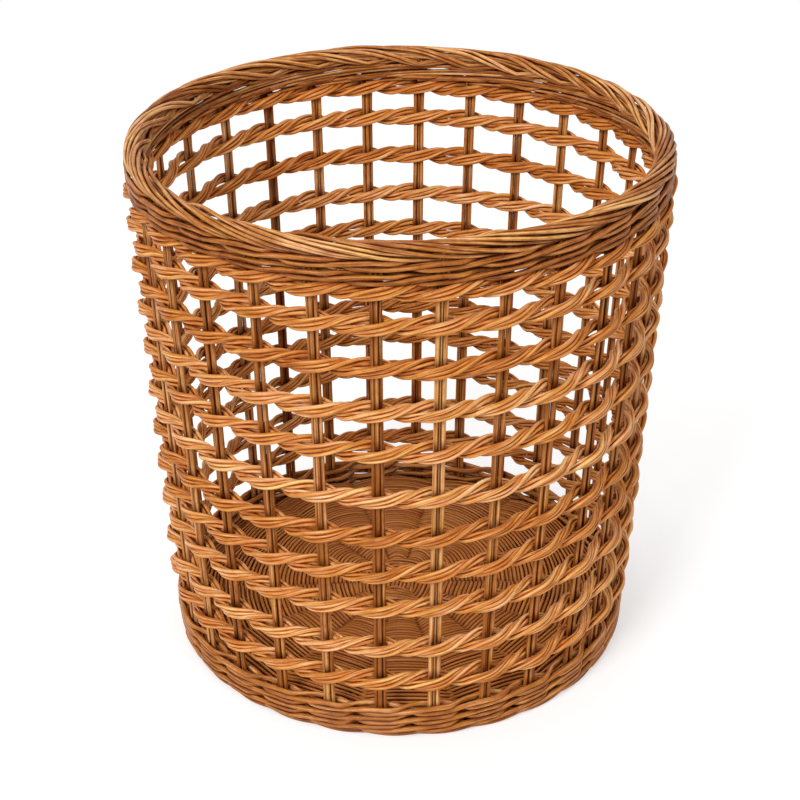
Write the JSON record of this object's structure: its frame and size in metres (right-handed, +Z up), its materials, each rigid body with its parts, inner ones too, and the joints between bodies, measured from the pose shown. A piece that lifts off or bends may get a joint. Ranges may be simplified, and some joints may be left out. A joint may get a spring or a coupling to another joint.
{
  "type": "wastebasket",
  "caption": "Round open-weave wicker wastebasket: upright rod stakes, spaced twined rows, waled foot and mouth, woven base and a turned-down border",
  "frame": {"origin": "centre of the foot, on the ground", "axes": "+Z up along the basket's axis, -Y towards the viewer, +X to the viewer's right"},
  "size_m": [0.3008, 0.3008, 0.311],
  "materials": {
    "stake_willow": "satin varnish over stained willow",
    "twining_willow": "satin varnish over stained willow",
    "wale_willow": "satin varnish over stained willow",
    "base_willow": "satin varnish over stained willow"
  },
  "bodies": {
    "root": {"base_stick_1": "base_willow", "base_stick_2": "base_willow", "base_stick_3": "base_willow", "base_stick_4": "base_willow", "base_stick_5": "base_willow", "base_stick_6": "base_willow", "base_stick_7": "base_willow", "base_weave": "base_willow", "foot_hoop": "wale_willow", "foot_wale_1": "wale_willow", "foot_wale_2": "wale_willow", "stake_01": "stake_willow", "stake_02": "stake_willow", "stake_03": "stake_willow", "stake_04": "stake_willow", "stake_05": "stake_willow", "stake_06": "stake_willow", "stake_07": "stake_willow", "stake_08": "stake_willow", "stake_09": "stake_willow", "stake_10": "stake_willow", "stake_11": "stake_willow", "stake_12": "stake_willow", "stake_13": "stake_willow", "stake_14": "stake_willow", "stake_15": "stake_willow", "stake_16": "stake_willow", "stake_17": "stake_willow", "stake_18": "stake_willow", "stake_19": "stake_willow", "stake_20": "stake_willow", "stake_21": "stake_willow", "stake_22": "stake_willow", "stake_23": "stake_willow", "stake_24": "stake_willow", "stake_25": "stake_willow", "stake_26": "stake_willow", "stake_27": "stake_willow", "stake_28": "stake_willow", "row_01": "twining_willow", "row_02": "twining_willow", "row_03": "twining_willow", "row_04": "twining_willow", "row_05": "twining_willow", "row_06": "twining_willow", "row_07": "twining_willow", "row_08": "twining_willow", "row_09": "twining_willow", "row_10": "twining_willow", "row_11": "twining_willow", "mouth_wale_1": "wale_willow", "mouth_wale_2": "wale_willow"}
  },
  "joints": []
}
